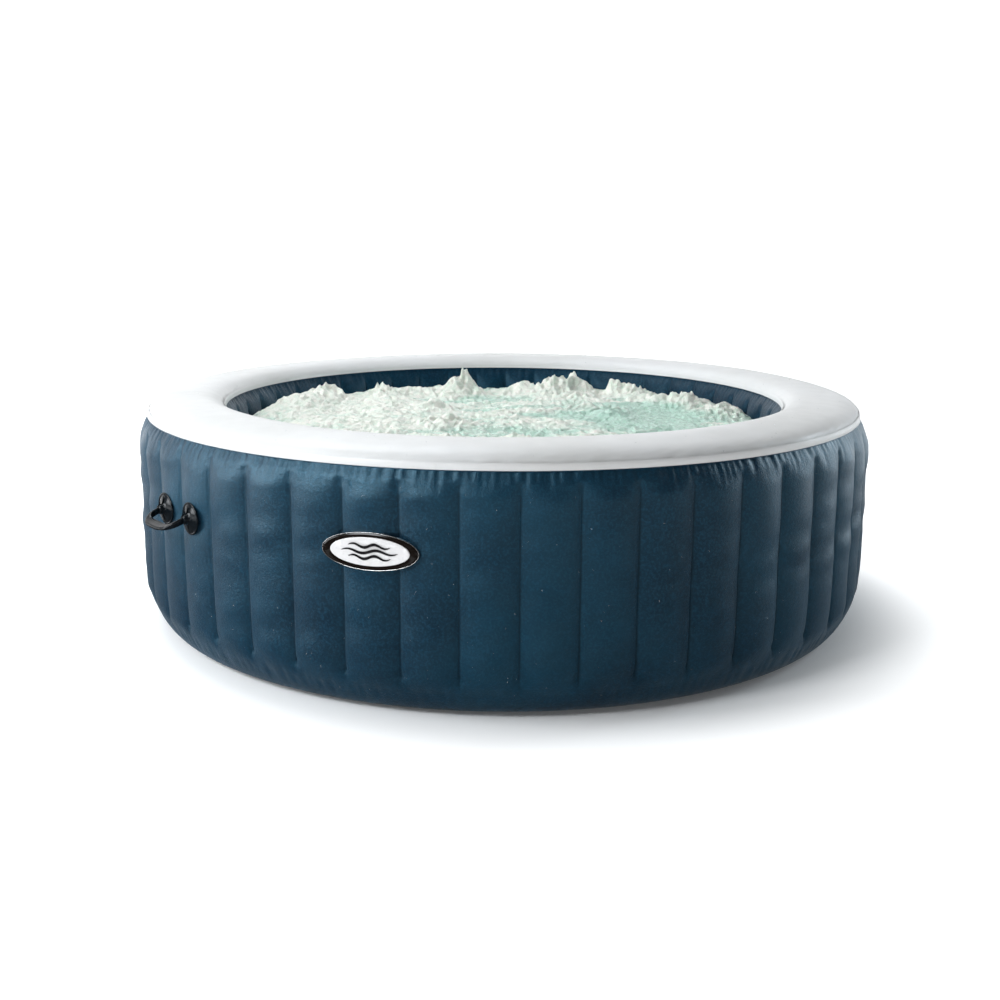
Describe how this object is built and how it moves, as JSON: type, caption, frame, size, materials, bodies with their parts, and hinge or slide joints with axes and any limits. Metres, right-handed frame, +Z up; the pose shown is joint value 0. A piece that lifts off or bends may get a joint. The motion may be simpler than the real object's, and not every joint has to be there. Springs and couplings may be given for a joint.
{
  "type": "inflatable hot tub",
  "caption": "Round inflatable hot tub with puffed channelled double wall, padded top ring, hinged carrying handles, oval badge, inflation valve, drain and water and air ports.",
  "frame": {"origin": "centre of the base on the ground", "axes": "+Z up, the badge faces -Y (turned 16 degrees towards -X)"},
  "size_m": [2.1592, 2.1848, 0.65],
  "materials": {
    "navy_laminate": "satin laminated vinyl with a fine fabric grain",
    "navy_liner": "satin laminated vinyl",
    "white_vinyl": "smooth soft vinyl, low gloss",
    "black_rubber": "smooth glossy moulded rubber",
    "grey_plastic": "moulded plastic",
    "badge_black": "glossy",
    "badge_silver": "polished trim",
    "badge_white": "glossy",
    "spring_steel": "drawn wire"
  },
  "bodies": {
    "tub": {"air_inlet_gasket": "black_rubber", "air_inlet_lock_nut": "grey_plastic", "air_inlet_sleeve": "grey_plastic", "badge_face": "badge_white", "badge_plate": "badge_black", "badge_trim": "badge_silver", "base_sheet": "navy_laminate", "bubble_ring": "navy_liner", "drain_gasket": "black_rubber", "drain_lock_nut": "grey_plastic", "drain_sleeve": "grey_plastic", "floor_liner": "navy_liner", "handle_1_disc_left": "black_rubber", "handle_1_disc_right": "black_rubber", "handle_1_pin_left": "grey_plastic", "handle_1_pin_right": "grey_plastic", "handle_2_disc_left": "black_rubber", "handle_2_disc_right": "black_rubber", "handle_2_pin_left": "grey_plastic", "handle_2_pin_right": "grey_plastic", "inflation_valve_body": "grey_plastic", "inflation_valve_spring": "spring_steel", "inner_wall": "navy_liner", "inner_weld_band": "white_vinyl", "outer_wall": "navy_laminate", "outer_weld_band": "white_vinyl", "tension_webs": "navy_liner", "top_ring": "white_vinyl", "water_inlet_gasket": "black_rubber", "water_inlet_lock_nut": "grey_plastic", "water_inlet_sleeve": "grey_plastic", "water_outlet_gasket": "black_rubber", "water_outlet_lock_nut": "grey_plastic", "water_outlet_sleeve": "grey_plastic"},
    "handle_1_grip_body": {"handle_1_grip": "black_rubber"},
    "handle_2_grip_body": {"handle_2_grip": "black_rubber"},
    "water_outlet_cap_body": {"water_outlet_cap": "grey_plastic"},
    "water_outlet_screen_body": {"water_outlet_screen": "grey_plastic"},
    "water_inlet_cap_body": {"water_inlet_cap": "grey_plastic"},
    "water_inlet_screen_body": {"water_inlet_screen": "grey_plastic"},
    "air_inlet_cap_body": {"air_inlet_cap": "grey_plastic"},
    "air_inlet_screen_body": {"air_inlet_screen": "grey_plastic"},
    "drain_cap_body": {"drain_cap": "grey_plastic"},
    "drain_stopper_body": {"drain_stopper": "black_rubber"},
    "inflation_valve_cap_body": {"inflation_valve_cap": "grey_plastic"},
    "inflation_valve_stem_body": {"inflation_valve_stem": "black_rubber"}
  },
  "joints": [
    {"name": "handle_1_grip_hinge", "type": "hinge", "parent": "tub", "child": "handle_1_grip_body", "pos_m": [-0.84347, -0.69778, 0.41], "axis": [0.6374, -0.7705, 0], "range_deg": [-70, 40]},
    {"name": "handle_2_grip_hinge", "type": "hinge", "parent": "tub", "child": "handle_2_grip_body", "pos_m": [0.84347, 0.69778, 0.41], "axis": [-0.6374, 0.7705, 0], "range_deg": [-70, 40]},
    {"name": "water_outlet_cap_turn", "type": "hinge", "parent": "tub", "child": "water_outlet_cap_body", "pos_m": [0.17174, 1.06626, 0.3], "axis": [0.159, 0.9873, 0], "continuous": true},
    {"name": "water_outlet_screen_turn", "type": "hinge", "parent": "tub", "child": "water_outlet_screen_body", "pos_m": [0.17174, 1.06626, 0.3], "axis": [0.159, 0.9873, 0], "continuous": true},
    {"name": "water_inlet_cap_turn", "type": "hinge", "parent": "tub", "child": "water_inlet_cap_body", "pos_m": [-0.11008, 1.07438, 0.3], "axis": [-0.1019, 0.9948, 0], "continuous": true},
    {"name": "water_inlet_screen_turn", "type": "hinge", "parent": "tub", "child": "water_inlet_screen_body", "pos_m": [-0.11008, 1.07438, 0.3], "axis": [-0.1019, 0.9948, 0], "continuous": true},
    {"name": "air_inlet_cap_turn", "type": "hinge", "parent": "tub", "child": "air_inlet_cap_body", "pos_m": [-0.3844, 1.00928, 0.4], "axis": [-0.3559, 0.9345, 0], "continuous": true},
    {"name": "air_inlet_screen_turn", "type": "hinge", "parent": "tub", "child": "air_inlet_screen_body", "pos_m": [-0.3844, 1.00928, 0.4], "axis": [-0.3559, 0.9345, 0], "continuous": true},
    {"name": "drain_cap_turn", "type": "hinge", "parent": "tub", "child": "drain_cap_body", "pos_m": [0.56671, 0.91937, 0.17], "axis": [0.5247, 0.8513, 0], "continuous": true},
    {"name": "drain_stopper_pull", "type": "slide", "parent": "tub", "child": "drain_stopper_body", "axis": [-0.5247, -0.8513, 0], "range_m": [0, 0.04]},
    {"name": "inflation_valve_cap_hinge", "type": "hinge", "parent": "tub", "child": "inflation_valve_cap_body", "pos_m": [-0.74618, 0.79044, 0.3735], "axis": [-0.7272, -0.6865, 0], "range_deg": [0, 150]},
    {"name": "inflation_valve_stem_push", "type": "slide", "parent": "tub", "child": "inflation_valve_stem_body", "axis": [0.6865, -0.7272, 0], "range_m": [0, 0.006], "stiffness_N_per_m": 400, "springref_m": -0.004, "deforming": ["inflation_valve_spring"]}
  ]
}
